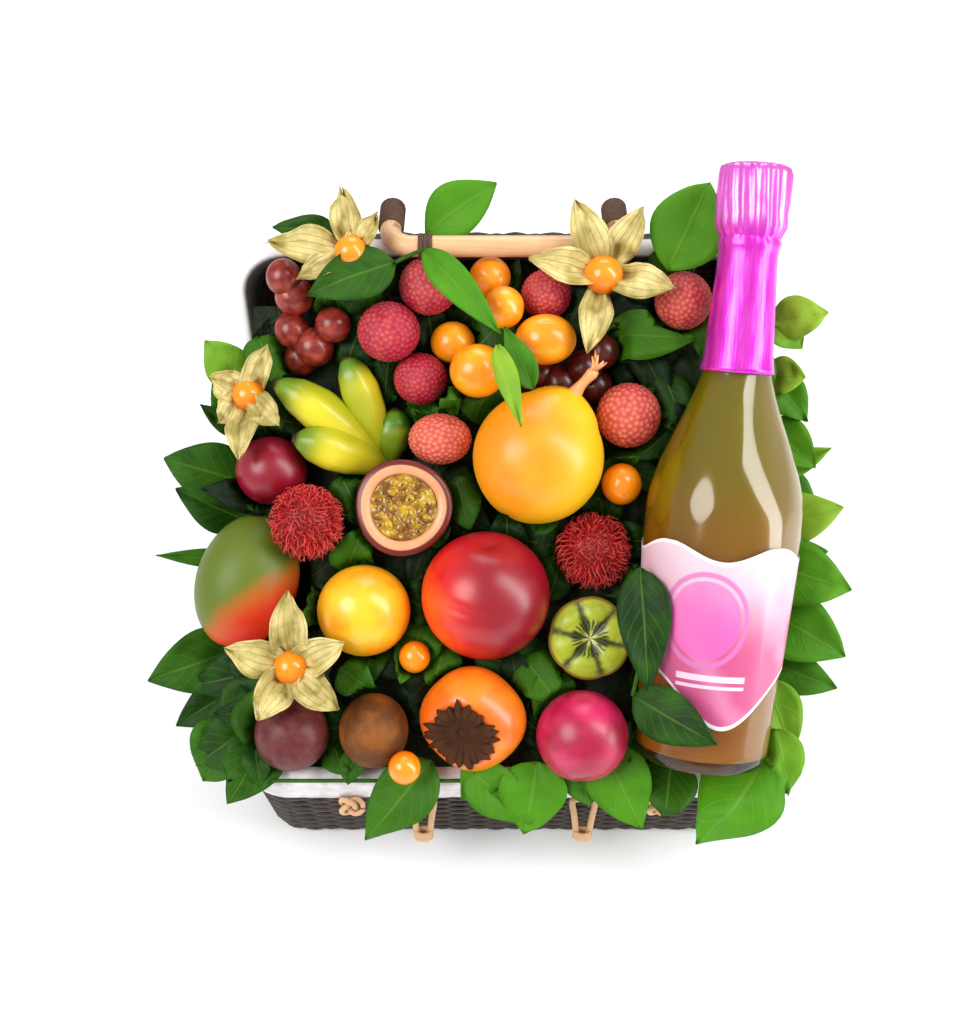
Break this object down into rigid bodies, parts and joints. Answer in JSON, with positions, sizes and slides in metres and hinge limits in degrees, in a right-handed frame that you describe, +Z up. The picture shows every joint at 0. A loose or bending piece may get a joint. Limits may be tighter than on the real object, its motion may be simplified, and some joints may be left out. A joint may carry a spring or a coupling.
{
  "type": "fruit and wine gift basket",
  "caption": "Open wicker hamper with a cloth liner and carry handle, heaped with tropical fruit and leaves on a steep slope beside a foil-necked bottle of sparkling drink.",
  "frame": {"origin": "middle of the hamper's base on the floor", "axes": "+Z up, the front with the heaped slope faces -Y, +X to the right seen from the front"},
  "size_m": [0.4244, 0.3009, 0.3654],
  "materials": {
    "wicker": "dark stained, woven",
    "liner_cloth": "plain cotton",
    "rattan": "smooth cane",
    "filler": "dark green packing",
    "bottle_glass": "clear olive",
    "wine": "liquid",
    "foil": "satin, coloured",
    "label_paper": "coated",
    "physalis": "papery husk",
    "orange_berry": "smooth",
    "grape_skin": "translucent, with bloom",
    "lychee_skin": "bumpy",
    "kumquat_skin": "dimpled peel",
    "banana_skin": "waxy",
    "plum_skin": "glossy",
    "rambutan_skin": "hairy",
    "cut_passion_skin": "skin and rind",
    "passion_pulp": "wet",
    "passion_skin": "satin",
    "granadilla_skin": "satin",
    "mango_skin": "satin",
    "yellow_plum_skin": "satin",
    "nectarine_skin": "glossy",
    "kiwi_flesh": "wet",
    "kiwi_skin": "downy",
    "persimmon_skin": "satin",
    "leaf": "waxy"
  },
  "bodies": {
    "basket": {"basket_tray": "wicker", "tray_liner": "liner_cloth", "clasp_loop_left": "rattan", "clasp_loop_right": "rattan", "rim_knot_left": "rattan", "rim_knot_right": "rattan", "hinge_cord": "rattan", "filler_bed": "filler", "bottle_glass": "bottle_glass", "bottle_wine": "wine", "bottle_foil": "foil", "bottle_label": "label_paper", "physalis_top_left": "physalis", "physalis_top_right": "physalis", "physalis_left": "physalis", "physalis_bottom_left": "physalis", "berry_right": "orange_berry", "berry_middle": "orange_berry", "berry_front": "orange_berry", "grapes_left": "grape_skin", "grapes_middle": "grape_skin", "lychee_1": "lychee_skin", "lychee_2": "lychee_skin", "lychee_3": "lychee_skin", "lychee_4": "lychee_skin", "lychee_5": "lychee_skin", "lychee_6": "lychee_skin", "lychee_7": "lychee_skin", "kumquat_1": "kumquat_skin", "kumquat_2": "kumquat_skin", "kumquat_3": "kumquat_skin", "kumquat_4": "kumquat_skin", "kumquat_5": "kumquat_skin", "banana_hand": "banana_skin", "plum_left": "plum_skin", "plum_front": "plum_skin", "rambutan_left": "rambutan_skin", "rambutan_right": "rambutan_skin", "passion_fruit_shell": "cut_passion_skin", "passion_fruit_pulp": "passion_pulp", "passion_fruit_whole": "passion_skin", "granadilla": "granadilla_skin", "mango": "mango_skin", "yellow_plum": "yellow_plum_skin", "nectarine": "nectarine_skin", "kiwi_cut": "kiwi_flesh", "kiwi_whole": "kiwi_skin", "persimmon": "persimmon_skin", "leaves_left_upper": "leaf", "leaves_left_lower": "leaf", "leaves_front": "leaf", "leaves_right_upper": "leaf", "leaves_right_lower": "leaf", "leaves_center": "leaf", "leaves_top": "leaf", "leaf_by_neck": "leaf"},
    "lid": {"basket_lid": "wicker", "lid_liner": "liner_cloth", "lid_handle": "rattan", "leaf_top": "leaf"}
  },
  "joints": [
    {"name": "lid_hinge", "type": "hinge", "parent": "basket", "child": "lid", "pos_m": [0, 0.107, 0.0887], "axis": [-1, 0, 0], "range_deg": [0, 75]}
  ]
}
